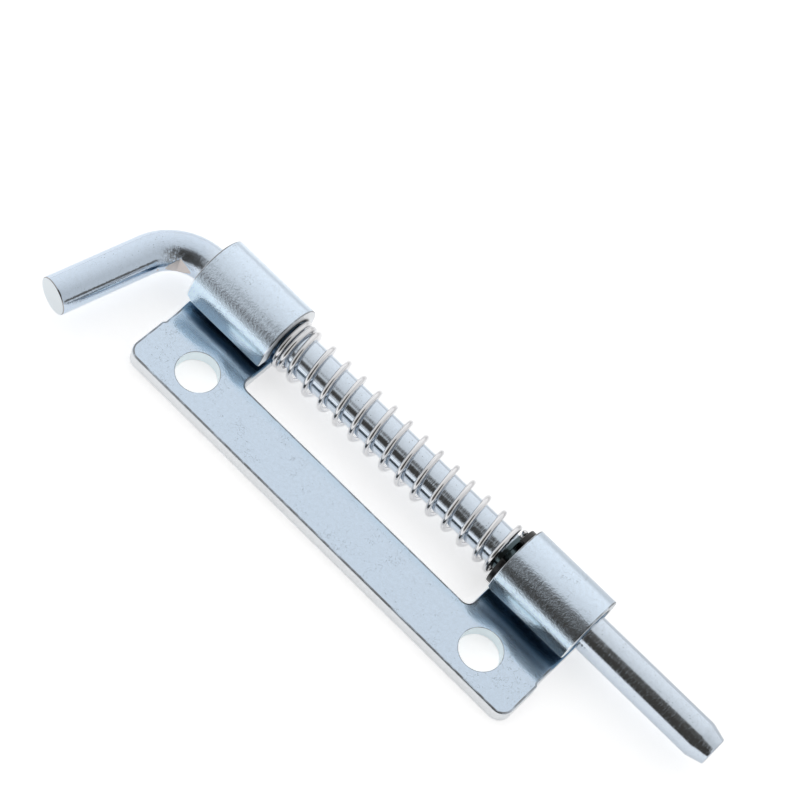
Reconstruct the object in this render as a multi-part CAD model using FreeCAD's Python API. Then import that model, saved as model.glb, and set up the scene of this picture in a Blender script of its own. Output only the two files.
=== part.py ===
import FreeCAD, Part
import math
import os

Vector = FreeCAD.Vector

# Spring bolt gate latch: a bent rod slides and turns in two knuckles rolled from a stamped plate,
# and a compression spring pushes it out until its clip meets the knuckle at the tip side.
# Millimetres and degrees. X runs along the rod toward its tip, Y across the plate toward the rod, Z up off the back.
# The origin is midway between the two fixing holes, on the back of the plate.

# Rod
rod_diameter = 6.0
tip_reach = 24.0  # from the knuckle to the end of the tip
tip_cone_length = 2.6
tip_cone_depth = 0.73
bend_standoff = 0.45  # straight rod between the knuckle and the bend
bend_radius = 8.0  # to the centre line
bend_turn = 76.9
arm_length = 15.6  # straight part of the handle
arm_edge_break = 0.35
pinch_depth = 0.6
pinch_angle = 125.0

# Plate
plate_length = 75.5
sheet_thickness = 2.5
bar_width = 8.9
edge_to_rod = 17.6  # from the outer long edge to the rod's axis
hole_spacing = 57.0
hole_diameter = 6.6
hole_inset = 5.35  # from the outer long edge
tab_length = 14.9  # along the rod, from the end of the plate
tab_step = 0.3  # by which a tab is set in from the end of the plate
tab_step_inset = 7.4  # where that step begins, from the outer long edge
corner_radius = 2.0
slot_corner_radius = 1.3
bore_clearance = 0.2  # between the rod and the knuckle, all round
handle_flare = 0.55  # by which the handle-side tab widens outward on its way to the roll
handle_edge_drop = 1.55  # straight end of the handle-side roll, from level with the rod's axis to its edge
tip_edge_drop = 0.85  # the same at the tip side
edge_corner_run = 1.1  # corner off the handle-side edge, along the rod
edge_corner_rise = 0.65

# Clip
clip_thickness = 0.9
clip_rim = 1.25  # width of the ring outside the relief bays
clip_relief = 0.6  # between the rod's surface and a relief bay
clip_mouth = 3.4
clip_mouth_turn = 108.0  # where the mouth faces, from the Y axis toward the Z axis
clip_side_tongue = 80.0  # where each side tongue ends, from the mouth
clip_back_tongue = 24.0  # half the angle of the tongue opposite the mouth
groove_depth = 0.5
groove_side_clearance = 0.05
groove_fit = 0.05  # between the clip's tongues and the floor of the groove
clip_stop_gap = 0.1  # between the clip and the knuckle at rest

# Spring
wire_diameter = 0.9
wire_sides = 6  # flats that stand for the round wire, with the same cross-section
spring_clearance = 0.32  # between the wire and the rod
spring_turns = 16.0
closed_turns = 1.25  # at each end
closing_turns = 0.5  # over which the coils go from closed to open
closed_gap = 0.03  # between closed coils
seat_gap = 0.05  # between the spring and each face it bears on
spring_start_turn = 28.0  # where the wire begins, from the Y axis toward the Z axis
rings_per_turn = 16  # cross-sections of the wire in one turn

# Places that follow from these
rod_radius = rod_diameter / 2
bore_radius = rod_radius + bore_clearance
knuckle_radius = bore_radius + sheet_thickness
outer_edge_y = -hole_inset
bar_inner_y = outer_edge_y + bar_width
rod_y = outer_edge_y + edge_to_rod
rod_z = knuckle_radius
plate_end_x = plate_length / 2
knuckle_outer_x = plate_end_x - tab_step
handle_end_x = -knuckle_outer_x - handle_flare
knuckle_inner_x = plate_end_x - tab_length

clip_tip_face_x = knuckle_inner_x - clip_stop_gap
clip_spring_face_x = clip_tip_face_x - clip_thickness
relief_radius = rod_radius + clip_relief
clip_radius = relief_radius + clip_rim
groove_radius = rod_radius - groove_depth

tip_x = knuckle_outer_x + tip_reach
bend_start_x = handle_end_x - bend_standoff
bend_centre = Vector(bend_start_x, rod_y - bend_radius, rod_z)

# A sector of sheet in the YZ plane becomes one about X when its local X, Y and Z turn into Y, Z and X.
ALONG_ROD = FreeCAD.Rotation(Vector(1, 1, 1), 120)


def rounded_face(corners):
    """Flat face through corners given as (x, y, radius), each rounded by an arc where its radius isn't zero."""
    count = len(corners)
    points = [Vector(x, y, 0) for x, y, radius in corners]
    joints = []
    for index, (x, y, radius) in enumerate(corners):
        corner = points[index]
        back = (points[index - 1] - corner).normalize()
        ahead = (points[(index + 1) % count] - corner).normalize()
        half_angle = back.getAngle(ahead) / 2
        reach = radius / math.tan(half_angle)
        to_centre = (back + ahead).normalize()
        crown = corner + to_centre * (radius / math.sin(half_angle) - radius)
        joints.append((corner + back * reach, crown, corner + ahead * reach, radius))
    edges = []
    for index, (start, crown, end, radius) in enumerate(joints):
        if radius > 0:
            edges.append(Part.Arc(start, crown, end).toShape())
        edges.append(Part.makeLine(end, joints[(index + 1) % count][0]))
    return Part.Face(Part.Wire(edges))


def make_blank():
    """The flat of the plate: a bar along the outer edge and a tab at each end that reaches to below the rod."""
    step_y = outer_edge_y + tab_step_inset
    right_side = [
        (plate_end_x, outer_edge_y, corner_radius),
        (plate_end_x, step_y, 0),
        (knuckle_outer_x, step_y + tab_step, 0),
        (knuckle_outer_x, rod_y, 0),
        (knuckle_inner_x, rod_y, 0),
        (knuckle_inner_x, bar_inner_y, slot_corner_radius),
    ]
    left_side = [(-x, y, radius) for x, y, radius in reversed(right_side)]
    left_side[left_side.index((-knuckle_outer_x, rod_y, 0))] = (handle_end_x, rod_y, 0)
    blank = rounded_face(right_side + left_side).extrude(Vector(0, 0, sheet_thickness))
    for side in (-1, 1):
        place = Vector(side * hole_spacing / 2, 0, 0)
        blank = blank.cut(Part.makeCylinder(hole_diameter / 2, sheet_thickness, place))
    return blank


def make_knuckle(start_x, end_x, edge_drop):
    """One tab's end rolled round the rod, from below it, past the far side and over the top, then straight down to
    its free edge, which stops above the plate."""
    centre = Vector(start_x, rod_y, rod_z)

    def on_roll(radius, angle):
        turned = math.radians(angle)
        return centre + Vector(0, radius * math.cos(turned), radius * math.sin(turned))

    foot_angle, level_angle = -90.0, 180.0
    middle_angle = (foot_angle + level_angle) / 2
    drop = Vector(0, 0, -edge_drop)
    outer = Part.Arc(*[on_roll(knuckle_radius, angle) for angle in (foot_angle, middle_angle, level_angle)])
    inner = Part.Arc(*[on_roll(bore_radius, angle) for angle in (level_angle, middle_angle, foot_angle)])
    outer_end, inner_end = on_roll(knuckle_radius, level_angle), on_roll(bore_radius, level_angle)
    straight_end = [
        Part.makeLine(outer_end, outer_end + drop),
        Part.makeLine(outer_end + drop, inner_end + drop),
        Part.makeLine(inner_end + drop, inner_end),
    ]
    foot = Part.makeLine(on_roll(bore_radius, foot_angle), on_roll(knuckle_radius, foot_angle))
    section = Part.Face(Part.Wire([outer.toShape()] + straight_end + [inner.toShape(), foot]))
    return section.extrude(Vector(end_x - start_x, 0, 0))


def make_edge_corner():
    """The corner that is missing from the handle-side knuckle's free edge, at its outer end."""
    low = Vector(handle_end_x, rod_y - knuckle_radius, rod_z - handle_edge_drop)
    corner = Part.makePolygon([low, low + Vector(edge_corner_run, 0, 0), low + Vector(0, 0, edge_corner_rise), low])
    return Part.Face(corner).extrude(Vector(0, sheet_thickness, 0))


def make_plate():
    """The stamped plate, one piece with its two rolled knuckles."""
    handle_knuckle = make_knuckle(handle_end_x, -knuckle_inner_x, handle_edge_drop).cut(make_edge_corner())
    tip_knuckle = make_knuckle(knuckle_inner_x, knuckle_outer_x, tip_edge_drop)
    return make_blank().multiFuse([handle_knuckle, tip_knuckle]).removeSplitter()


def make_rod():
    """The rod: a turned straight with its groove and coned tip, a bend with a pinch mark inside it, and the handle."""
    groove_start_x = clip_spring_face_x - groove_side_clearance
    groove_end_x = clip_tip_face_x + groove_side_clearance
    profile = [
        (bend_start_x, 0),
        (bend_start_x, rod_radius),
        (groove_start_x, rod_radius),
        (groove_start_x, groove_radius),
        (groove_end_x, groove_radius),
        (groove_end_x, rod_radius),
        (tip_x - tip_cone_length, rod_radius),
        (tip_x, rod_radius - tip_cone_depth),
        (tip_x, 0),
    ]
    outline = flat_face([Vector(x, rod_y, rod_z + radius) for x, radius in profile])
    straight = outline.revolve(Vector(0, rod_y, rod_z), Vector(1, 0, 0), 360)

    section = Part.Face(Part.Wire(Part.makeCircle(rod_radius, Vector(bend_start_x, rod_y, rod_z), Vector(1, 0, 0))))
    bend = section.revolve(bend_centre, Vector(0, 0, 1), bend_turn)

    turned = math.radians(bend_turn)
    arm_start = bend_centre + Vector(-math.sin(turned), math.cos(turned), 0) * bend_radius
    arm_way = Vector(-math.cos(turned), -math.sin(turned), 0)
    plain_length = arm_length - arm_edge_break
    arm = Part.makeCylinder(rod_radius, plain_length, arm_start, arm_way)
    arm_end = Part.makeCone(
        rod_radius, rod_radius - arm_edge_break, arm_edge_break, arm_start + arm_way * plain_length, arm_way
    )
    rod = straight.multiFuse([bend, arm, arm_end]).removeSplitter()
    return rod.cut(make_pinch())


def make_pinch():
    """The wedge that the bending tool pressed into the inside of the bend, its edge upright and midway round."""
    half_turn = math.radians(bend_turn / 2)
    outward = Vector(-math.sin(half_turn), math.cos(half_turn), 0)
    across = Vector(math.cos(half_turn), math.sin(half_turn), 0)
    half_angle = math.radians(pinch_angle / 2)
    root = bend_centre + outward * (bend_radius - rod_radius + pinch_depth) - Vector(0, 0, rod_radius)
    sink = outward * (-rod_radius * math.cos(half_angle))
    spread = across * (rod_radius * math.sin(half_angle))
    wedge = flat_face([root, root + sink + spread, root + sink - spread])
    return wedge.extrude(Vector(0, 0, rod_diameter))


def make_clip():
    """The E-shaped clip: a ring with an open mouth, two relief bays and three tongues that run in the groove."""
    up = Vector(0, 0, 1)
    base = Vector(0, 0, 0)
    ring = Part.makeCylinder(clip_radius, clip_thickness).cut(Part.makeCylinder(relief_radius, clip_thickness))
    overlap_radius = (relief_radius + clip_radius) / 2
    sides = Part.makeCylinder(overlap_radius, clip_thickness, base, up, 2 * clip_side_tongue)
    sides.rotate(base, up, -clip_side_tongue)
    back = Part.makeCylinder(overlap_radius, clip_thickness, base, up, 2 * clip_back_tongue)
    back.rotate(base, up, 180 - clip_back_tongue)
    mouth = Part.makeBox(clip_radius, clip_mouth, clip_thickness, Vector(0, -clip_mouth / 2, 0))
    seat = Part.makeCylinder(groove_radius + groove_fit, clip_thickness)
    clip = ring.multiFuse([sides, back]).cut(mouth).cut(seat).removeSplitter()
    clip.rotate(base, up, clip_mouth_turn)
    clip.Placement = FreeCAD.Placement(Vector(clip_spring_face_x, rod_y, rod_z), ALONG_ROD).multiply(clip.Placement)
    return clip


def flat_face(points):
    """Flat face through points in order."""
    return Part.Face(Part.makePolygon(points + points[:1]))


def opened_turns(turn, start):
    """How many fully open turns the coils have gained by a turn, when they start to open smoothly at start."""
    share = (turn - start) / closing_turns
    if share <= 0:
        return 0.0
    if share >= 1:
        return closing_turns * (share - 0.5)
    return closing_turns * (share**3 - share**4 / 2)


def make_spring():
    """The compression spring, right-handed, with closed coils at both ends and open ones between."""
    corner_reach = (wire_diameter / 2) * math.sqrt(2 * math.pi / (wire_sides * math.sin(2 * math.pi / wire_sides)))
    flat_reach = corner_reach * math.cos(math.pi / wire_sides)
    coil_radius = rod_radius + spring_clearance + flat_reach
    start_x = -knuckle_inner_x + seat_gap + corner_reach
    end_x = clip_spring_face_x - seat_gap - corner_reach
    closed_pitch = 2 * corner_reach + closed_gap
    open_turns = spring_turns - 2 * closed_turns
    extra_pitch = (end_x - start_x - closed_pitch * spring_turns) / open_turns
    opening = closed_turns - closing_turns / 2
    closing = spring_turns - closed_turns - closing_turns / 2

    rings = []
    for index in range(round(spring_turns * rings_per_turn) + 1):
        turn = index / rings_per_turn
        gained = opened_turns(turn, opening) - opened_turns(turn, closing)
        along = start_x + closed_pitch * turn + extra_pitch * gained
        turned = math.radians(spring_start_turn + 360 * turn)
        ring = []
        for side in range(wire_sides):
            angle = 2 * math.pi * (side + 0.5) / wire_sides
            out = coil_radius + corner_reach * math.cos(angle)
            x = along + corner_reach * math.sin(angle)
            ring.append(Vector(x, rod_y + out * math.cos(turned), rod_z + out * math.sin(turned)))
        rings.append(ring)

    faces = [flat_face(rings[0]), flat_face(rings[-1])]
    for ring, following in zip(rings, rings[1:]):
        for side in range(wire_sides):
            faces.append(flat_face([ring[side - 1], ring[side], following[side]]))
            faces.append(flat_face([ring[side - 1], following[side], following[side - 1]]))
    shell = Part.makeShell(faces)
    shell.sewShape()
    return Part.makeSolid(shell)


pieces = {
    "plate_with_knuckles": make_plate(),
    "bolt_rod": make_rod(),
    "return_spring": make_spring(),
    "retaining_clip": make_clip(),
}
os.makedirs("parts", exist_ok=True)
for name, piece in pieces.items():
    solid = piece.Solids[0]
    solid.exportStep("parts/" + name + ".step")
    box = solid.BoundBox
    print(name, len(piece.Solids), solid.isValid(), round(solid.Volume, 1))
    print("  x", round(box.XMin, 2), round(box.XMax, 2), "y", round(box.YMin, 2), round(box.YMax, 2))
    print("  z", round(box.ZMin, 2), round(box.ZMax, 2), "faces", len(solid.Faces))
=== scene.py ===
import bpy
import numpy as np
from mathutils import Matrix, Vector
from mathutils.geometry import delaunay_2d_cdt


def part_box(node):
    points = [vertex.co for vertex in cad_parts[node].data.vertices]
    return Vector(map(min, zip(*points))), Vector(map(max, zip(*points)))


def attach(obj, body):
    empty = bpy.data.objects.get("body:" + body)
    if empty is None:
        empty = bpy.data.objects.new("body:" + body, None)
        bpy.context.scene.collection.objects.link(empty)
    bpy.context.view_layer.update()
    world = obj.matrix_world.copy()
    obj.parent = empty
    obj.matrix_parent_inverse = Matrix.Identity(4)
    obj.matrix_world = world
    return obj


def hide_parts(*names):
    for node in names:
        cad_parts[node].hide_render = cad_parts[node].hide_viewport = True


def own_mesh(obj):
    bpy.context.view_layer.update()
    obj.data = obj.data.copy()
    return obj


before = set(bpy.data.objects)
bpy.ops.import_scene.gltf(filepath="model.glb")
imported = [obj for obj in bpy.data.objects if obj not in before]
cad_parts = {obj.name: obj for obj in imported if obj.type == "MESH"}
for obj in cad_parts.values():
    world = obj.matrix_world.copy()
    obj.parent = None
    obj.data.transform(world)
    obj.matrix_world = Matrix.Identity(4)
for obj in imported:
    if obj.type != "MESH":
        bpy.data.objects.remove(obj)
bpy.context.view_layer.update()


# Plate with knuckles: one stamped blank of mild steel sheet, bright zinc plated after forming.
# A bar carries a fixing hole at each end. A tab at each end is rolled nearly three quarters round the rod,
# with its last stretch left straight above an open seam. The latch is screwed down through the plate.
mm = 0.001
plate_low, plate_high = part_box("plate_with_knuckles")
sheet_thickness = 2.5 * mm
knuckle_radius = plate_high.z / 2
middle_radius = knuckle_radius - sheet_thickness / 2
rod_y = plate_high.y - knuckle_radius
rod_z = knuckle_radius
plate_end_x = plate_high.x
handle_end_x = plate_low.x
bar_width = 8.9 * mm
bar_inner_y = plate_low.y + bar_width
tab_width = 14.9 * mm
tab_step = 0.3 * mm
tab_step_y = plate_low.y + 7.4 * mm
knuckle_outer_x = plate_end_x - tab_step
knuckle_inner_x = plate_end_x - tab_width
roll_turn = np.radians(262)
round_length = roll_turn * middle_radius
handle_straight_end = 2.0 * mm
tip_straight_end = 1.4 * mm
handle_edge_y = rod_y + round_length + handle_straight_end
tip_edge_y = rod_y + round_length + tip_straight_end
hole_x = 28.5 * mm
hole_radius = 3.3 * mm
front_edge_round = 0.3 * mm
back_edge_round = 0.15 * mm
hole_edge_round = 0.06 * mm
edge_margin = 0.1 * mm


def rounded_outline(corners, step):
    """Closed outline, counter-clockwise, through corners (x, y, radius).

    Each corner is an arc that touches both of its sides, and each straight between two arcs is cut into
    equal steps. Gives the points and the outward normal at each."""
    arc_step = np.radians(9)
    corner = np.array([c[:2] for c in corners], float)
    radius = np.array([c[2] for c in corners], float)
    way = np.roll(corner, -1, 0) - corner
    way /= np.linalg.norm(way, axis=1, keepdims=True)
    normal = np.stack([way[:, 1], -way[:, 0]], 1)
    back_way, back_normal = np.roll(way, 1, 0), np.roll(normal, 1, 0)
    turn = np.arctan2(back_way[:, 0] * way[:, 1] - back_way[:, 1] * way[:, 0], (back_way * way).sum(1))
    reach = (radius * np.tan(np.abs(turn) / 2))[:, None]
    arc_start, arc_end = corner - back_way * reach, corner + way * reach
    points, normals = [], []
    for i in range(len(corners)):
        share = np.linspace(0, 1, max(int(abs(turn[i]) / arc_step), 2) + 1)
        angle = np.arctan2(back_normal[i, 1], back_normal[i, 0]) + share * turn[i]
        around = np.stack([np.cos(angle), np.sin(angle)], 1)
        points.append(arc_start[i] + np.sign(turn[i]) * radius[i] * (around - around[0]))
        normals.append(around)
        ahead = arc_start[(i + 1) % len(corners)] - arc_end[i]
        count = max(int(np.linalg.norm(ahead) / step), 1)
        share = np.arange(1, count)[:, None] / count
        points.append(arc_end[i] + share * ahead)
        normals.append(np.repeat(normal[i:i + 1], len(share), 0))
    return np.concatenate(points), np.concatenate(normals)


def sheared_rim(thickness, back_round, front_round, margin):
    """Edge of a stamped sheet, from back to front, as rows of inset, height, share of edge and share of
    sheared side.

    It is a strip of the back, a quarter circle, the plain side, a quarter circle, and a strip of the
    front."""
    quarter = np.linspace(0, np.pi / 2, 7)
    sine, cosine = np.sin(quarter), np.cos(quarter)
    back = [back_round * (1 - sine), back_round * (1 - cosine), cosine, sine**2]
    front = [front_round * (1 - cosine), thickness - front_round * (1 - sine), sine**3, cosine**2]
    first = [[back_round + margin, 0, 0, 0]]
    last = [[front_round + margin, thickness, 0, 0]]
    return np.concatenate([first, np.stack(back, 1), np.stack(front, 1), last])


def tube_faces(rings, sides, turned_over=False):
    """Four-sided faces between the rings of a tube, as rows of four point numbers.

    The points run round one ring after another. Turned over, each face goes round the other way."""
    index = np.arange(rings * sides).reshape(-1, sides)
    after = np.roll(index, -1, 1)
    face = [index[:-1], after[:-1], after[1:], index[1:]]
    if turned_over:
        face = [face[0], face[3], face[2], face[1]]
    return np.stack(face, 2).reshape(-1, 4)


def stamped_sheet(outlines, rims, inner_points):
    """Flat sheet with rounded edges, as points (x, y, height), faces, and each point's shares of edge and
    of sheared side.

    Each outline carries its rim round it, inset against its normal. The front and the back are filled with
    triangles between the innermost lines and the inner points, less those that lie in a hole."""
    points, shares, faces = [], [], []
    fill_points, fill_edges = [], []
    back_index, front_index = [], []
    base, fill_base = 0, 0
    for (line, normal), rim in zip(outlines, rims):
        stations, count = len(rim), len(line)
        flat = line[None] - rim[:, :1, None] * normal[None]
        carried = np.broadcast_to(rim[:, None, 1:], (stations, count, 3)).reshape(-1, 3)
        points.append(np.concatenate([flat.reshape(-1, 2), carried[:, :1]], 1))
        shares.append(carried[:, 1:])
        faces += (base + tube_faces(stations, count)).tolist()
        once_round = np.arange(count)
        loop = fill_base + once_round
        fill_edges += np.stack([loop, np.roll(loop, -1)], 1).tolist()
        fill_points.append(flat[-1])
        back_index.append(base + once_round)
        front_index.append(base + (stations - 1) * count + once_round)
        base += stations * count
        fill_base += count
    for height, numbers in ((rims[0][0, 1], back_index), (rims[0][-1, 1], front_index)):
        points.append(np.concatenate([inner_points, np.full((len(inner_points), 1), height)], 1))
        shares.append(np.zeros((len(inner_points), 2)))
        numbers.append(base + np.arange(len(inner_points)))
        base += len(inner_points)
    places = [Vector(p) for p in np.concatenate(fill_points + [inner_points]) / mm]
    inside_only, merge_distance = 1, 1e-7
    filled = delaunay_2d_cdt(places, fill_edges, [], inside_only, merge_distance)
    given_as = np.array([ids[0] for ids in filled[3]])
    triangles = given_as[np.array(filled[2])]
    outline_of = [np.full(len(line), i) for i, (line, _) in enumerate(outlines)]
    outline_of.append(np.zeros(len(inner_points), int))
    touched = np.concatenate(outline_of)[triangles]
    triangles = triangles[(touched.min(1) != touched.max(1)) | (touched.min(1) == 0)]
    faces += np.concatenate(front_index)[triangles].tolist()
    faces += np.concatenate(back_index)[triangles[:, ::-1]].tolist()
    return np.concatenate(points), faces, np.concatenate(shares)


def eased_run(along, start, ease):
    """Distance run since start, when the first stretch is eased in.

    It is the integral of a smooth step: a cube less half a fourth power inside the eased stretch, and a
    straight line past it."""
    share = np.clip((along - start) / ease, 0, 1)
    return ease * (share**3 - share**4 / 2) + np.maximum(along - start - ease, 0)


def pressed(points):
    """The flat blank's points once the rolling die has pressed the sheet down in front of each knuckle.

    The front falls at a few degrees toward the die's line, from a border that bows round the fixing hole as
    a bell curve does, stays at that depth past the line, and is back at full height below the rod. The back
    stays flat."""
    handle_border, tip_border = 9.9 * mm, 10.2 * mm
    handle_die_line, tip_die_line = 7.55 * mm, 7.05 * mm
    bow_height, bow_width = 1.35 * mm, 2.4 * mm
    fall, fall_ease = np.tan(np.radians(7.0)), 0.7 * mm
    level_before_rod, rise_length = 1.0 * mm, 3.0 * mm
    die_overhang, run_out = 1.5 * mm, 1.8 * mm
    x, y, height = points.T
    at_handle = x < 0
    bow = bow_height * np.exp(-(((np.abs(x) - hole_x) / bow_width) ** 2))
    border = np.where(at_handle, rod_y - handle_border, rod_y - tip_border) + bow
    die_line = np.where(at_handle, rod_y - handle_die_line, rod_y - tip_die_line)
    depth = fall * eased_run(np.minimum(y, die_line), border, fall_ease)
    pressed_share = np.clip((rod_y - level_before_rod - y) / rise_length, 0, 1)
    pressed_share *= np.clip((np.abs(x) - knuckle_inner_x + die_overhang) / run_out, 0, 1)
    return np.stack([x, y, height - depth * pressed_share * height / sheet_thickness], 1)


def rolled(points):
    """Where a point (x, y, height) of the flat blank goes when the tabs are rolled.

    As far as below the rod it stays. Past that it goes round the rod's axis, by its way along the middle of
    the sheet and at the knuckle's outer radius less its height. What is left over runs straight on."""
    x, y, height = points.T
    past_rod = y > rod_y
    angle = np.clip(y - rod_y, 0, round_length) / middle_radius
    radius = knuckle_radius - height
    left_over = np.maximum(y - rod_y - round_length, 0)
    beyond_rod = np.where(past_rod, radius * np.sin(angle) + left_over * np.cos(angle), 0)
    rolled_y = np.minimum(y, rod_y) + beyond_rod
    rolled_z = np.where(past_rod, rod_z - radius * np.cos(angle) + left_over * np.sin(angle), height)
    return np.stack([x, rolled_y, rolled_z], 1)


def mesh_piece(name, points, faces, material, **attributes):
    """New object at the origin with a smooth-shaded mesh of these points and faces.

    Values may be kept on its points: a row of three becomes a vector, and a single number a value."""
    mesh = bpy.data.meshes.new(name)
    mesh.from_pydata(np.asarray(points).tolist(), [], faces)
    mesh.polygons.foreach_set("use_smooth", np.ones(len(mesh.polygons), bool))
    for label, values in attributes.items():
        values = np.asarray(values, np.float32)
        kind, field = ("FLOAT_VECTOR", "vector") if values.ndim == 2 else ("FLOAT", "value")
        mesh.attributes.new(label, kind, "POINT").data.foreach_set(field, values.ravel())
    mesh.update()
    mesh.materials.append(material)
    piece = bpy.data.objects.new(name, mesh)
    bpy.context.scene.collection.objects.link(piece)
    return piece


def shader_node(tree, kind, inputs=None, **settings):
    """Adds a node to a shader tree, with its settings, and with its inputs set to values or joined to other
    outputs. Gives the output that is in use."""
    made = tree.nodes.new(kind)
    for name, value in settings.items():
        setattr(made, name, value)
    for name, value in (inputs or {}).items():
        if isinstance(name, int):
            socket = made.inputs[name]
        else:
            socket = next(i for i in made.inputs if i.name == name and i.enabled)
        if isinstance(value, bpy.types.NodeSocket):
            tree.links.new(value, socket)
        else:
            socket.default_value = value
    return next(o for o in made.outputs if o.enabled)


def stepped(tree, value, low, high):
    """Smooth step of a value from 0 at low to 1 at high, falling instead where low is the greater."""
    limits = {"Value": value, "From Min": low, "From Max": high}
    return shader_node(tree, "ShaderNodeMapRange", limits, interpolation_type="SMOOTHSTEP")


def ranged(tree, value, given_range, wanted_range):
    """Value carried in a straight line from one range to another, and held at its ends."""
    low, high = given_range
    to_low, to_high = wanted_range
    limits = {"Value": value, "From Min": low, "From Max": high, "To Min": to_low, "To Max": to_high}
    return shader_node(tree, "ShaderNodeMapRange", limits)


def calculated(tree, operation, *values):
    """One sum on numbers, such as ADD or MAXIMUM."""
    return shader_node(tree, "ShaderNodeMath", dict(enumerate(values)), operation=operation)


def product(tree, first, *others):
    """Masks and numbers multiplied together, in this order."""
    for other in others:
        first = calculated(tree, "MULTIPLY", first, other)
    return first


def between(tree, share, first, second):
    """Number that goes from the first to the second by a share."""
    return shader_node(tree, "ShaderNodeMix", {"Factor": share, "A": first, "B": second}, data_type="FLOAT")


def blended(tree, share, first, second):
    """Colour that goes from the first to the second by a share."""
    return shader_node(tree, "ShaderNodeMix", {"Factor": share, "A": first, "B": second}, data_type="RGBA")


def layered(tree, colour, layers):
    """Colour with layers of (share, colour) laid over it, each over the last."""
    for share, finish in layers:
        colour = blended(tree, share, colour, finish)
    return colour


def split_place(tree, place):
    """The three numbers of a place."""
    node = tree.nodes.new("ShaderNodeSeparateXYZ")
    tree.links.new(place, node.inputs[0])
    return node.outputs


def kept_on_points(tree, label):
    """Value or vector that the mesh keeps on its points under this name, as (vector, value)."""
    node = tree.nodes.new("ShaderNodeAttribute")
    node.attribute_name = label
    return node.outputs["Vector"], node.outputs["Fac"]


def noise(tree, place, scale, detail=2.0, stretch=(1.0, 1.0, 1.0), rough=0.5):
    """Soft noise over a place in millimetres, with scale times stretch waves to the millimetre."""
    drawn = shader_node(tree, "ShaderNodeVectorMath", {0: place, 1: stretch}, operation="MULTIPLY")
    waves = {"Vector": drawn, "Scale": scale, "Detail": detail, "Roughness": rough}
    return shader_node(tree, "ShaderNodeTexNoise", waves)


def new_group(name, inputs, outputs):
    """Empty shader group with these sockets, as (group, its inputs, its outputs)."""
    group = bpy.data.node_groups.new(name, "ShaderNodeTree")
    for label, kind in inputs:
        group.interface.new_socket(label, in_out="INPUT", socket_type=kind)
    for label, kind in outputs:
        group.interface.new_socket(label, in_out="OUTPUT", socket_type=kind)
    return group, group.nodes.new("NodeGroupInput").outputs, group.nodes.new("NodeGroupOutput").inputs


def new_material(name):
    """Empty node material with its Principled shader, as (material, tree, the shader's inputs)."""
    material = bpy.data.materials.new(name)
    material.use_nodes = True
    tree = material.node_tree
    tree.nodes.clear()
    shader = tree.nodes.new("ShaderNodeBsdfPrincipled")
    output = tree.nodes.new("ShaderNodeOutputMaterial")
    tree.links.new(shader.outputs["BSDF"], output.inputs["Surface"])
    return material, tree, shader.inputs


def use_group(tree, group, inputs):
    """Adds a shader group to a tree and gives its outputs."""
    node = tree.nodes.new("ShaderNodeGroup")
    node.node_tree = group
    for label, value in inputs.items():
        tree.links.new(value, node.inputs[label])
    return node.outputs


# Zinc that has been barrel plated: grain and mottle in the plating, dark pits in patches, and thin
# wandering lines where pieces rubbed in the barrel. Rubs are the few of those lines that show.
barrel_marks, given, out = new_group(
    "barrel_marks", [("Place", "NodeSocketVector")],
    [(name, "NodeSocketFloat") for name in ("Grain", "Mottle", "Pits", "Lines", "Rubs")],
)
place = given["Place"]
coarse = noise(barrel_marks, place, scale=1.6, detail=3.0)
fine = noise(barrel_marks, place, scale=5.0, detail=2.0)
coarse_share, fine_share = 0.6, 0.4
coarse, fine = product(barrel_marks, coarse, coarse_share), product(barrel_marks, fine, fine_share)
grain = calculated(barrel_marks, "ADD", coarse, fine)
most_mottle = 0.3
mottle = ranged(barrel_marks, grain, (0.4, 0.75), (0.0, most_mottle))
spots = shader_node(barrel_marks, "ShaderNodeTexVoronoi", {"Vector": place, "Scale": 1.9})
patches = stepped(barrel_marks, noise(barrel_marks, place, scale=0.5, detail=2.0), 0.44, 0.62)
pits = product(barrel_marks, stepped(barrel_marks, spots, 0.19, 0.08), patches)
wander = noise(barrel_marks, place, scale=0.6, detail=3.0, rough=0.6)
off_line = calculated(barrel_marks, "ABSOLUTE", calculated(barrel_marks, "SUBTRACT", wander, 0.5))
lines = stepped(barrel_marks, off_line, 0.009, 0.002)
few = stepped(barrel_marks, noise(barrel_marks, place, scale=0.3, detail=1.0), 0.5, 0.62)
rubs = product(barrel_marks, lines, few)
for name, mark in (("Grain", grain), ("Mottle", mottle), ("Pits", pits), ("Lines", lines), ("Rubs", rubs)):
    barrel_marks.links.new(mark, out[name])

# The sheet's masks are drawn on the flat blank, in millimetres across it, along it and up from its back.
zinc_sheet, tree, surface = new_material("zinc_sheet")
blank_place, _ = kept_on_points(tree, "blank")
_, edge_share = kept_on_points(tree, "edge")
_, cut_share = kept_on_points(tree, "sheared")
marks = use_group(tree, barrel_marks, {"Place": blank_place})
across_sheet, along_sheet, up_sheet = split_place(tree, blank_place)
rod_along = rod_y / mm
roll_end_along = (rod_y + round_length) / mm
hole_across = hole_x / mm
hole_edge = hole_radius / mm
on_front = stepped(tree, up_sheet, 1.7, 2.2)
# The roll, from below the rod on, is given a lighter zinc than the bar.
on_roll = stepped(tree, along_sheet, rod_along, rod_along + 3)
in_fold = product(tree, on_front, stepped(tree, along_sheet, rod_along - 10.5, rod_along - 9))
at_seam = stepped(tree, along_sheet, roll_end_along - 3, roll_end_along - 1)
before_seam = calculated(tree, "SUBTRACT", 1.0, at_seam)
# Painted shade: the front below the open seam, under the rolled strip, is painted a dark navy.
seam_shade = product(tree, on_front, stepped(tree, along_sheet, rod_along - 7.1, rod_along - 6.0))
beside_hole = calculated(tree, "SUBTRACT", calculated(tree, "ABSOLUTE", across_sheet), hole_across)
square_beside, square_along = (calculated(tree, "POWER", way, 2.0) for way in (beside_hole, along_sheet))
from_hole = calculated(tree, "SQRT", calculated(tree, "ADD", square_beside, square_along))
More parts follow.
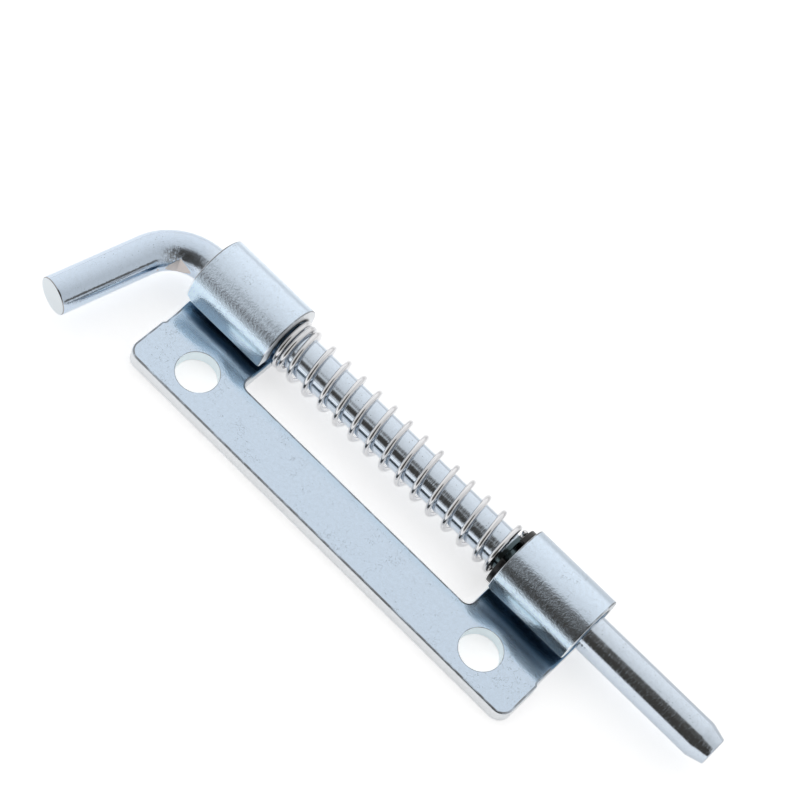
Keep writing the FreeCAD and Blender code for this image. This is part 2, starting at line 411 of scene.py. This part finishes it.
punched = product(tree, cut_share, stepped(tree, from_hole, hole_edge + 1, hole_edge + 0.5))
by_tip_hole = (hole_across + 5.5, 0.5, sheet_thickness / mm)
from_scuff = shader_node(
    tree, "ShaderNodeVectorMath", {0: blank_place, 1: by_tip_hole}, operation="DISTANCE"
)
scuffed = product(tree, marks["Lines"], stepped(tree, from_scuff, 4.5, 2.0))
rubbed = calculated(tree, "MAXIMUM", marks["Rubs"], scuffed)
broken = stepped(tree, noise(tree, blank_place, scale=0.7, detail=4.0), 0.22, 0.62)
# Painted shade: a broken dark line is painted along the rounded edges, short of the seam, as their dark
# outline.
edge_shade_line = product(tree, edge_share, broken, before_seam)
# Painted highlight: the edges and sheared faces at the seam are painted nearly white.
seam_edge_highlight = product(tree, calculated(tree, "MAXIMUM", edge_share, cut_share), at_seam)
# Painted shade: the sheared end faces of the knuckles are painted black near the bore.
bore_shade = product(tree, cut_share, on_roll, stepped(tree, up_sheet, 1.2, 1.7))
bar_zinc = (0.645, 0.755, 0.880, 1.0)
pits_shown, rubs_shown = 0.35, 0.5
colour = layered(tree, bar_zinc, (
    (in_fold, (0.58, 0.72, 0.86, 1.0)),
    (on_roll, (0.705, 0.81, 0.925, 1.0)),
    (at_seam, (0.64, 0.79, 0.914, 1.0)),
    (marks["Mottle"], (0.50, 0.57, 0.65, 1.0)),
    (product(tree, marks["Pits"], pits_shown), (0.16, 0.18, 0.20, 1.0)),
    (product(tree, rubbed, rubs_shown), (0.22, 0.25, 0.28, 1.0)),
    (cut_share, (0.86, 0.88, 0.90, 1.0)),
    (punched, (0.88, 0.96, 0.99, 1.0)),
    (edge_shade_line, (0.20, 0.20, 0.20, 1.0)),
    (seam_edge_highlight, (0.90, 0.95, 0.99, 1.0)),
    (bore_shade, (0.05, 0.05, 0.05, 1.0)),
    (seam_shade, (0.17, 0.29, 0.42, 1.0)),
))
tree.links.new(colour, surface["Base Color"])
surface["Metallic"].default_value = 1.0
sheared_roughness = 0.5
roughness = ranged(tree, marks["Grain"], (0.3, 0.7), (0.10, 0.22))
roughness = between(tree, cut_share, roughness, sheared_roughness)
tree.links.new(roughness, surface["Roughness"])
grain_height, wave_height, rub_depth = 0.027, 0.06, 0.004
drawn_grain = noise(tree, blank_place, scale=4.0, detail=3.0, stretch=(0.6, 1.0, 1.0), rough=0.65)
wave = noise(tree, blank_place, scale=0.11, detail=1.0)
height = calculated(tree, "MULTIPLY_ADD", drawn_grain, grain_height, product(tree, wave, wave_height))
height = calculated(tree, "MULTIPLY_ADD", rubbed, -rub_depth, height)
tree.links.new(shader_node(tree, "ShaderNodeBump", {"Height": height, "Distance": mm}), surface["Normal"])

# The blank's outline: the tip-side tab has nearly square corners, and the handle-side one is flared outward
# and has a corner clipped off.
bar_corner = 2.0 * mm
small_corner = 0.5 * mm
cut_out_corner = 1.3 * mm
flare_corner = 3.0 * mm
clipped_across = 1.1 * mm
clipped_along = 0.65 * mm
tip_tab = [
    (plate_end_x, plate_low.y, bar_corner),
    (plate_end_x, tab_step_y, small_corner),
    (knuckle_outer_x, tab_step_y + tab_step, small_corner),
    (knuckle_outer_x, tip_edge_y, small_corner),
    (knuckle_inner_x, tip_edge_y, small_corner),
    (knuckle_inner_x, bar_inner_y, cut_out_corner),
]
handle_tab = [
    (-knuckle_inner_x, bar_inner_y, cut_out_corner),
    (-knuckle_inner_x, handle_edge_y, small_corner),
    (handle_end_x + clipped_across, handle_edge_y, small_corner),
    (handle_end_x, handle_edge_y - clipped_along, small_corner),
    (handle_end_x, rod_y, flare_corner),
    (-knuckle_outer_x, tab_step_y + tab_step, small_corner),
    (-plate_end_x, tab_step_y, small_corner),
    (-plate_end_x, plate_low.y, bar_corner),
]
outline_step = 0.4 * mm
hole_sides = 72
tab_columns = 26
tab_row_step = 0.33 * mm
tab_rows_start_y = bar_inner_y - 4 * mm
clear_of_hole = hole_radius + 0.8 * mm
blank_outline = rounded_outline(tip_tab + handle_tab, outline_step)
clockwise = -np.linspace(0, 2 * np.pi, hole_sides + 1)[:-1]
from_centre = np.stack([np.cos(clockwise), np.sin(clockwise)], 1)
holes = [(from_centre * hole_radius + [side * hole_x, 0], -from_centre) for side in (-1, 1)]
across, along = np.meshgrid(
    np.linspace(knuckle_inner_x, knuckle_outer_x, tab_columns)[1:-1],
    np.arange(tab_rows_start_y, rod_y + round_length, tab_row_step),
)
tab_points = np.stack([across.ravel(), along.ravel()], 1)
tab_points = tab_points[np.hypot(tab_points[:, 0] - hole_x, tab_points[:, 1]) > clear_of_hole]
both_tabs = np.concatenate([tab_points, tab_points * [-1, 1]])
outer_rim = sheared_rim(sheet_thickness, back_edge_round, front_edge_round, edge_margin)
hole_rim = sheared_rim(sheet_thickness, back_edge_round, hole_edge_round, edge_margin)
flat_points, plate_faces, plate_shares = stamped_sheet(
    [blank_outline] + holes, [outer_rim, hole_rim, hole_rim], both_tabs
)
plate = mesh_piece(
    "latch_plate", rolled(pressed(flat_points)), plate_faces, zinc_sheet,
    blank=flat_points / mm, edge=plate_shares[:, 0], sheared=plate_shares[:, 1],
)
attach(plate, "plate")
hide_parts("plate_with_knuckles")


# Bolt rod: drawn round steel bar, zinc plated, bent cold into a handle at one end.
# The bending tool left a V-shaped pinch inside the bend. The tip is turned to a cone to find its keeper,
# and a groove turned near the tip-side knuckle takes the clip.
_, rod_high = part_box("bolt_rod")
rod_radius = 3.0 * mm
bend_radius = 8.0 * mm
bend_turn = np.radians(76.9)
bend_start_x = handle_end_x - 0.45 * mm
arm_length = 15.6 * mm
clip_thickness = 0.9 * mm
clip_play = 0.05 * mm
clip_tip_face_x = knuckle_inner_x - 0.1 * mm
groove_radius = rod_radius - 0.5 * mm
groove_ends = np.array([clip_tip_face_x - clip_thickness - clip_play, clip_tip_face_x + clip_play])
cone_length = 2.6 * mm
cone_depth = 0.73 * mm
pinch_depth = 0.65 * mm
pinch_half_angle = np.radians(125 / 2)
bend_centre = np.array([bend_start_x, rod_y - bend_radius, rod_z])
straight_start = arm_length + bend_radius * bend_turn
rod_length = straight_start + rod_high.x - bend_start_x


def rod_centre_line(distance):
    """Centre and sideways direction of the rod at a distance from the handle's end.

    The bend is an arc about its centre. The handle goes on from one end of it, and the straight from the
    other."""
    angle = bend_turn - np.clip((distance - arm_length) / bend_radius, 0, bend_turn)
    sideways = np.stack([-np.sin(angle), np.cos(angle), 0 * angle], 1)
    forward = np.stack([np.cos(angle), np.sin(angle), 0 * angle], 1)
    beyond = np.minimum(distance - arm_length, 0) + np.maximum(distance - straight_start, 0)
    return bend_centre + bend_radius * sideways + beyond[:, None] * forward, sideways


def bent_rod(distance, radius, sides):
    """Tube whose radius at each distance along the rod's centre line is given, closed where it is zero.

    Where the surface would lie inside the pinch, a wedge that opens toward the bend's centre, it is moved
    out from that centre on to the wedge's face. Gives points, faces, the same points on the unbent bar, and
    how far each was moved."""
    centre, sideways = rod_centre_line(distance)
    angle = np.linspace(0, 2 * np.pi, sides, endpoint=False)
    up = np.array([0.0, 0.0, 1.0])
    around = np.cos(angle)[None, :, None] * sideways[:, None] + np.sin(angle)[None, :, None] * up
    points = centre[:, None] + radius[:, None, None] * around
    unbent = np.stack(np.broadcast_arrays(
        distance[:, None], radius[:, None] * np.cos(angle), radius[:, None] * np.sin(angle)
    ), 2)
    outward = np.array([-np.sin(bend_turn / 2), np.cos(bend_turn / 2), 0.0])
    across = np.array([np.cos(bend_turn / 2), np.sin(bend_turn / 2), 0.0])
    root = bend_centre + outward * (bend_radius - rod_radius + pinch_depth)
    beside = np.abs((points - root) @ across)
    wedge_face = -beside / np.tan(pinch_half_angle)
    moved = np.where(beside < rod_radius, np.maximum(wedge_face - (points - root) @ outward, 0), 0)
    points += moved[..., None] * outward
    faces = tube_faces(len(distance), sides).tolist()
    return points.reshape(-1, 3), faces, unbent.reshape(-1, 3), moved.ravel()


def rounded_corner(before, corner, after, reach, count=5):
    """Points of a smooth corner in a profile: a quadratic curve from reach before it to reach after it."""
    before, corner, after = (np.asarray(p, float) for p in (before, corner, after))
    start = corner + (before - corner) * reach / np.linalg.norm(before - corner)
    end = corner + (after - corner) * reach / np.linalg.norm(after - corner)
    share = np.linspace(0, 1, count)[:, None]
    return (1 - share) ** 2 * start + 2 * share * (1 - share) * corner + share**2 * end


def turned_profile(corners, step):
    """Profile (distance, radius) through corners (distance, radius, reach), each rounded by its reach, with
    the runs between cut into steps."""
    place, reach = [c[:2] for c in corners], [c[2] for c in corners]
    rounded = [np.array(place[:1], float)]
    rounded += [rounded_corner(*place[i - 1:i + 2], reach[i]) for i in range(1, len(place) - 1)]
    rounded += [np.array(place[-1:], float)]
    pieces = []
    for this, following in zip(rounded, rounded[1:]):
        gap = following[0] - this[-1]
        count = max(int(np.linalg.norm(gap) / step), 1)
        pieces += [this, this[-1] + np.arange(1, count)[:, None] / count * gap]
    return np.concatenate(pieces + [rounded[-1]])


def from_x(x):
    """Distance along the rod of a place on its straight."""
    return straight_start + x - bend_start_x


def banded(tree, value, rise, fall):
    """Mask that rises smoothly from 0 to 1 between two values, and falls back to 0 between two others."""
    return product(tree, stepped(tree, value, *rise), stepped(tree, value, fall[1], fall[0]))


# The rod's masks are drawn on the unbent bar, in millimetres from the handle's end, out from the bend's
# centre and up.
zinc_rod, tree, surface = new_material("zinc_rod")
bar_place, _ = kept_on_points(tree, "unbent")
_, pinched = kept_on_points(tree, "pinched")
marks = use_group(tree, barrel_marks, {"Place": bar_place})
along_bar, out_from_bend, up_from_axis = split_place(tree, bar_place)
bend_along = arm_length / mm
straight_along = straight_start / mm
mid_bend = (arm_length + straight_start) / 2 / mm
tip_along = rod_length / mm
groove_low, groove_high = (from_x(groove_ends) / mm).tolist()
on_straight = stepped(tree, along_bar, straight_along - 3, straight_along + 1)
on_bend = banded(
    tree, along_bar, (bend_along - 1, bend_along + 3), (straight_along - 1, straight_along + 1)
)
bare = stepped(tree, pinched, 0.02, 0.06)
# Painted shade: the rod in the clip's groove and just before it is painted nearly black, as seen through the
# clip's mouth.
groove_shade = banded(tree, along_bar, (groove_low - 0.9, groove_low - 0.6), (groove_high, groove_high + 0.1))
parted_off = stepped(tree, along_bar, tip_along - 0.06, tip_along - 0.02)
cropped_face = stepped(tree, along_bar, 0.03, 0.01)
cropped_rim = banded(tree, along_bar, (0.015, 0.05), (0.12, 0.2))
# Painted shade: inside the bend, about the pinch, the rod is painted dark in speckled patches.
by_pinch = banded(tree, along_bar, (mid_bend - 4.5, mid_bend - 2.0), (mid_bend, mid_bend + 2.5))
inside_bend = product(tree, stepped(tree, out_from_bend, -0.9, -1.9), stepped(tree, up_from_axis, 0.2, 0.9))
speckled = stepped(tree, noise(tree, bar_place, scale=2.5, detail=3.0), 0.3, 0.6)
bend_shade = product(tree, by_pinch, inside_bend, speckled)
handle_zinc = (0.62, 0.715, 0.83, 1.0)
pits_shown, rubs_shown, bend_shade_shown, rim_shown = 0.6, 0.2, 0.7, 0.8
colour = layered(tree, handle_zinc, (
    (on_straight, (0.68, 0.76, 0.85, 1.0)),
    (marks["Mottle"], (0.50, 0.55, 0.61, 1.0)),
    (product(tree, marks["Pits"], pits_shown), (0.16, 0.17, 0.18, 1.0)),
    (product(tree, marks["Rubs"], rubs_shown), (0.22, 0.24, 0.26, 1.0)),
    (product(tree, bend_shade, bend_shade_shown), (0.16, 0.16, 0.15, 1.0)),
    (bare, (0.68, 0.62, 0.59, 1.0)),
    (cropped_face, (0.66, 0.71, 0.74, 1.0)),
    (product(tree, cropped_rim, rim_shown), (0.30, 0.27, 0.24, 1.0)),
    (groove_shade, (0.08, 0.11, 0.12, 1.0)),
    (parted_off, (0.40, 0.40, 0.41, 1.0)),
))
tree.links.new(colour, surface["Base Color"])
surface["Metallic"].default_value = 1.0
turned_roughness, bend_roughness, bare_roughness = 0.16, 0.14, 0.4
turning = noise(tree, bar_place, scale=1.0, detail=2.0, stretch=(4.5, 1.1, 1.1), rough=0.6)
turning_lines = stepped(tree, turning, 0.53, 0.66)
turned_end = stepped(tree, along_bar, from_x(-5 * mm) / mm, from_x(20 * mm) / mm)
roughness = ranged(tree, marks["Grain"], (0.3, 0.7), (0.04, 0.09))
roughness = calculated(
    tree, "MULTIPLY_ADD", product(tree, turning_lines, turned_end), turned_roughness, roughness
)
roughness = calculated(tree, "MULTIPLY_ADD", on_bend, bend_roughness, roughness)
roughness = between(tree, bare, roughness, bare_roughness)
tree.links.new(roughness, surface["Roughness"])
handle_grain, straight_grain, bend_grain = 0.018, 0.005, 0.05
ring_depth, turned_ring_depth = 0.003, 0.012
grain_depth = between(tree, on_straight, handle_grain, straight_grain)
grain_depth = calculated(tree, "MULTIPLY_ADD", on_bend, bend_grain, grain_depth)
drawn_rings = noise(tree, bar_place, scale=1.0, detail=3.0, stretch=(5.0, 0.9, 0.9), rough=0.6)
rings_depth = calculated(tree, "MULTIPLY_ADD", turned_end, turned_ring_depth, ring_depth)
height = calculated(
    tree, "ADD", product(tree, drawn_rings, rings_depth), product(tree, marks["Grain"], grain_depth)
)
tree.links.new(shader_node(tree, "ShaderNodeBump", {"Height": height, "Distance": mm}), surface["Normal"])

cropped_round = 0.3 * mm
groove_round = 0.08 * mm
cone_start_round = 0.15 * mm
cone_end_round = 0.2 * mm
profile_step = 0.5 * mm
bend_stations = 140
rod_sides = 96
groove_start, groove_end = from_x(groove_ends[0]), from_x(groove_ends[1])
profile = turned_profile(
    [
        (0.0, 0.0, 0.0),
        (0.0, rod_radius, cropped_round),
        (groove_start, rod_radius, groove_round),
        (groove_start, groove_radius, groove_round),
        (groove_end, groove_radius, groove_round),
        (groove_end, rod_radius, groove_round),
        (rod_length - cone_length, rod_radius, cone_start_round),
        (rod_length, rod_radius - cone_depth, cone_end_round),
        (rod_length, 0.0, 0.0),
    ],
    profile_step,
)
plain = (profile[:, 0] < arm_length) | (profile[:, 0] > straight_start)
bend_profile = np.linspace((arm_length, rod_radius), (straight_start, rod_radius), bend_stations)
profile = np.concatenate([profile[plain], bend_profile])
profile = profile[np.argsort(profile[:, 0], kind="stable")]
rod_points, rod_faces, unbent_points, pinch_moves = bent_rod(profile[:, 0], profile[:, 1], rod_sides)
rod = mesh_piece(
    "bolt_rod_bent", rod_points, rod_faces, zinc_rod,
    unbent=unbent_points / mm, pinched=pinch_moves / mm,
)
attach(rod, "bolt")
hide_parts("bolt_rod")


# Return spring: hard-drawn round wire, bright zinc plated, coiled right-handed with closed ends.
# It stands loose on the rod, between the face of the handle-side knuckle and the clip.
spring_low, spring_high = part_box("return_spring")
wire_radius = 0.45 * mm
coil_radius = rod_radius + 0.75 * mm
spring_turns = 16.0
turns_closed_at_knuckle = 2.0
turns_closed_at_clip = 1.0
closing_turns = 0.5
closed_pitch = 1.02 * mm
first_turn = np.radians(28)


def coiled_wire(turn, start_x, end_x, sides):
    """Round wire along a helix whose pitch eases from closed to open and back, closed at both ends.

    The wire's circle stands in the plane of the outward direction and the rod's axis. Gives points, faces,
    and the same points on straight wire."""
    open_turns = spring_turns - turns_closed_at_knuckle - turns_closed_at_clip
    extra_pitch = (end_x - start_x - closed_pitch * spring_turns) / open_turns
    opening = turns_closed_at_knuckle - closing_turns / 2
    closing = spring_turns - turns_closed_at_clip - closing_turns / 2
    open_run = eased_run(turn, opening, closing_turns) - eased_run(turn, closing, closing_turns)
    along = start_x + closed_pitch * turn + extra_pitch * open_run
    angle = first_turn + 2 * np.pi * turn
    axis = np.array([1.0, 0.0, 0.0])
    outward = np.stack([0 * angle, np.cos(angle), np.sin(angle)], 1)
    centre = np.array([0.0, rod_y, rod_z]) + along[:, None] * axis + coil_radius * outward
    around = np.linspace(0, 2 * np.pi, sides, endpoint=False)
    ring = np.cos(around)[None, :, None] * outward[:, None] + np.sin(around)[None, :, None] * axis
    size = np.full(len(turn), wire_radius)
    size[[0, -1]] = 0
    points = centre[:, None] + size[:, None, None] * ring
    straight = np.stack(np.broadcast_arrays(
        (angle * coil_radius)[:, None], size[:, None] * np.cos(around), size[:, None] * np.sin(around)
    ), 2)
    faces = tube_faces(len(turn), sides, turned_over=True).tolist()
    return points.reshape(-1, 3), faces, straight.reshape(-1, 3)


spring_wire, tree, surface = new_material("spring_wire")
wire_place, _ = kept_on_points(tree, "straight_wire")
draw_lines = noise(tree, wire_place, scale=1.0, detail=2.0, stretch=(0.25, 5.0, 5.0))
bright_wire, lined_wire = (0.80, 0.80, 0.81, 1.0), (0.62, 0.63, 0.65, 1.0)
colour = blended(tree, stepped(tree, draw_lines, 0.45, 0.7), bright_wire, lined_wire)
tree.links.new(colour, surface["Base Color"])
surface["Metallic"].default_value = 1.0
surface["Roughness"].default_value = 0.14
line_height = 0.004
height = product(tree, draw_lines, line_height)
tree.links.new(shader_node(tree, "ShaderNodeBump", {"Height": height, "Distance": mm}), surface["Normal"])

steps_in_turn = 56
wire_sides = 18
end_inset = 1.1 * wire_radius
turns = np.linspace(0, spring_turns, int(spring_turns) * steps_in_turn + 1)
turns = np.concatenate([turns[:1], turns, turns[-1:]])
wire_points, wire_faces, wire_straight = coiled_wire(
    turns, spring_low.x + end_inset, spring_high.x - end_inset, wire_sides
)
spring = mesh_piece("coiled_spring", wire_points, wire_faces, spring_wire, straight_wire=wire_straight / mm)
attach(spring, "plate")
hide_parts("return_spring")
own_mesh(spring)


# Retaining clip: an E-shaped clip stamped from spring steel and blackened, pressed sideways into the rod's
# groove. Its three tongues bear on the groove's floor, and it takes the push of the spring.
clip_low, clip_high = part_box("retaining_clip")
clip_radius = (clip_high.z - clip_low.z) / 2
bay_radius = rod_radius + 0.6 * mm
tongue_radius = groove_radius + clip_play
mouth_width = 3.4 * mm
mouth_turn = np.radians(108)
side_tongue_end = np.radians(80)
back_tongue_half = np.radians(24)
tongue_ease = np.radians(7)
section_squareness = 0.22


def clip_ring(turn_count, section_count):
    """Open ring round the rod's axis with a rounded section, swept from one side of the mouth to the other.

    The outside is a circle. The inside steps smoothly between the tongues and the bays. The section is an
    ellipse whose sine and cosine have a low power, so nearly a rectangle. The sweep starts and ends where
    each radius meets the mouth's straight sides, and the section shrinks to its middle to close both ends."""
    share = np.linspace(0, 1, turn_count)
    from_mouth = np.pi - np.abs(2 * np.pi * share - np.pi)
    after_side = np.clip((from_mouth - side_tongue_end) / tongue_ease, 0, 1)
    before_back = np.clip((np.pi - back_tongue_half - from_mouth) / tongue_ease, 0, 1)
    rise = after_side * before_back
    inside = tongue_radius + (bay_radius - tongue_radius) * rise * rise * (3 - 2 * rise)
    section = np.linspace(0, 2 * np.pi, section_count, endpoint=False)
    width = np.sign(np.cos(section)) * np.abs(np.cos(section)) ** section_squareness
    depth = np.sign(np.sin(section)) * np.abs(np.sin(section)) ** section_squareness
    full = np.ones((turn_count, 1))
    full[[0, -1]] = 0
    radius = (clip_radius + inside)[:, None] / 2 + (clip_radius - inside)[:, None] / 2 * width * full
    start = np.arcsin(mouth_width / 2 / radius)
    place = start + share[:, None] * (2 * np.pi - 2 * start) + mouth_turn
    x = (clip_low.x + clip_high.x) / 2 + clip_thickness / 2 * depth[None] * full
    points = np.stack([x, rod_y + radius * np.cos(place), rod_z + radius * np.sin(place)], 2)
    return points.reshape(-1, 3), tube_faces(turn_count, section_count, turned_over=True).tolist()


black_clip, tree, surface = new_material("black_clip")
surface["Base Color"].default_value = (0.010, 0.009, 0.009, 1.0)
surface["Roughness"].default_value = 0.25
surface["Specular IOR Level"].default_value = 0.35

clip_stations = 180
clip_section_sides = 32
clip_points, clip_faces = clip_ring(clip_stations, clip_section_sides)
clip = mesh_piece("e_clip", clip_points, clip_faces, black_clip)
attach(clip, "clip")
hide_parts("retaining_clip")


# Floor and light: a plain white table under a light tent. The table is white to the camera with a faint
# shadow, and darker to the right and behind where the metal mirrors it. The tent is brighter behind and to
# the left, with two dark openings on the camera's side and a small one along the table to the right.
def toward(tree, place, way):
    """How far a place lies along this way, or the cosine between a ray and it: their dot product."""
    return shader_node(tree, "ShaderNodeVectorMath", {0: place, 1: way}, operation="DOT_PRODUCT")


white_table, tree, surface = new_material("white_table")
surface["Base Color"].default_value = (0.92, 0.92, 0.92, 1.0)
surface["Roughness"].default_value = 1.0
surface["Specular IOR Level"].default_value = 0.0
surface["Emission Color"].default_value = (1.0, 1.0, 1.0, 1.0)
light_path = tree.nodes.new("ShaderNodeLightPath").outputs
table_place = tree.nodes.new("ShaderNodeTexCoord").outputs["Object"]
table_x, _, _ = split_place(tree, table_place)
right_x, left_x = 0.1, -0.1
right_glow, left_glow = 0.34, 0.52
way_back = (0.35, 0.94, 0.0)
behind_latch, in_front = 0.045, 0.02
glow_behind, glow_in_front = 0.3, 1.0
camera_glow = 0.52
lit_side = ranged(tree, table_x, (right_x, left_x), (right_glow, left_glow))
lit_front = ranged(
    tree, toward(tree, table_place, way_back), (behind_latch, in_front), (glow_behind, glow_in_front)
)
in_metal = product(tree, lit_side, lit_front, light_path["Is Glossy Ray"])
seen = calculated(tree, "MULTIPLY_ADD", light_path["Is Camera Ray"], camera_glow, in_metal)
tree.links.new(seen, surface["Emission Strength"])
floor_reach = 3.0
floor_z = -0.02 * mm
floor_sides = ((-1, -1), (1, -1), (1, 1), (-1, 1))
floor_corners = [(x * floor_reach, y * floor_reach, floor_z) for x, y in floor_sides]
floor = mesh_piece("table", floor_corners, [[0, 1, 2, 3]], white_table)

world = bpy.data.worlds.new("light_tent")
bpy.context.scene.world = world
world.use_nodes = True
tree = world.node_tree
tree.nodes.clear()
direction = tree.nodes.new("ShaderNodeTexCoord").outputs["Object"]
brighter_way = (-0.20, 0.25, 0.0)
tent_level, least_level = 0.75, 0.68
level = calculated(tree, "ADD", toward(tree, direction, brighter_way), tent_level)
level = calculated(tree, "MAXIMUM", level, least_level)
tent = shader_node(tree, "ShaderNodeCombineColor", {name: level for name in ("Red", "Green", "Blue")})
above_table = stepped(tree, toward(tree, direction, (0.0, 0.0, 1.0)), 0.04, 0.13)
# Each opening has the way to its middle, the degrees from there to its border and to its core, and a colour.
openings = (
    ((0.24, -0.48, 0.843), 27.3, 21, (0.095, 0.088, 0.080, 1.0)),
    ((0.27, -0.85, 0.45), 33, 27, (0.060, 0.054, 0.048, 1.0)),
    ((0.98, 0.15, 0.10), 12, 9, (0.14, 0.13, 0.12, 1.0)),
)
for way, border, core, dark in openings:
    off_middle = toward(tree, direction, Vector(way).normalized())
    opened = stepped(tree, off_middle, np.cos(np.radians(border)), np.cos(np.radians(core)))
    tent = blended(tree, product(tree, opened, above_table), tent, dark)
camera_ray = tree.nodes.new("ShaderNodeLightPath").outputs["Is Camera Ray"]
white_to_camera = blended(tree, camera_ray, tent, (1.0, 1.0, 1.0, 1.0))
background = shader_node(tree, "ShaderNodeBackground", {"Color": white_to_camera})
tree.links.new(background, tree.nodes.new("ShaderNodeOutputWorld").inputs["Surface"])


# Camera: a long lens above and in front of the latch, turned on its side a little, as the latch lies in the
# photograph. Its focal length is in pixels of an image 800 wide.
image_width = 800
focal_pixels = 2625.85
view_azimuth, view_elevation, view_roll = np.radians([19.275, 59.419, 27.170])
aim = np.array([-5.435, 18.053, 5.7]) * mm
camera_distance = 379.84 * mm
level_back = np.array([np.sin(view_azimuth), -np.cos(view_azimuth), 0.0])
level_right = np.array([np.cos(view_azimuth), np.sin(view_azimuth), 0.0])
back = level_back * np.cos(view_elevation) + np.array([0.0, 0.0, np.sin(view_elevation)])
right = np.cos(view_roll) * level_right + np.sin(view_roll) * np.cross(back, level_right)
camera_data = bpy.data.cameras.new("camera")
camera_data.sensor_width = 36.0
camera_data.lens = focal_pixels * camera_data.sensor_width / image_width
camera_data.clip_start = 0.01
camera = bpy.data.objects.new("camera", camera_data)
turned = Matrix(np.stack([right, np.cross(back, right), back], 1).tolist()).to_4x4()
camera.matrix_world = Matrix.Translation(aim + back * camera_distance) @ turned
bpy.context.scene.collection.objects.link(camera)
bpy.context.scene.camera = camera

bpy.context.scene.view_settings.view_transform = "Standard"
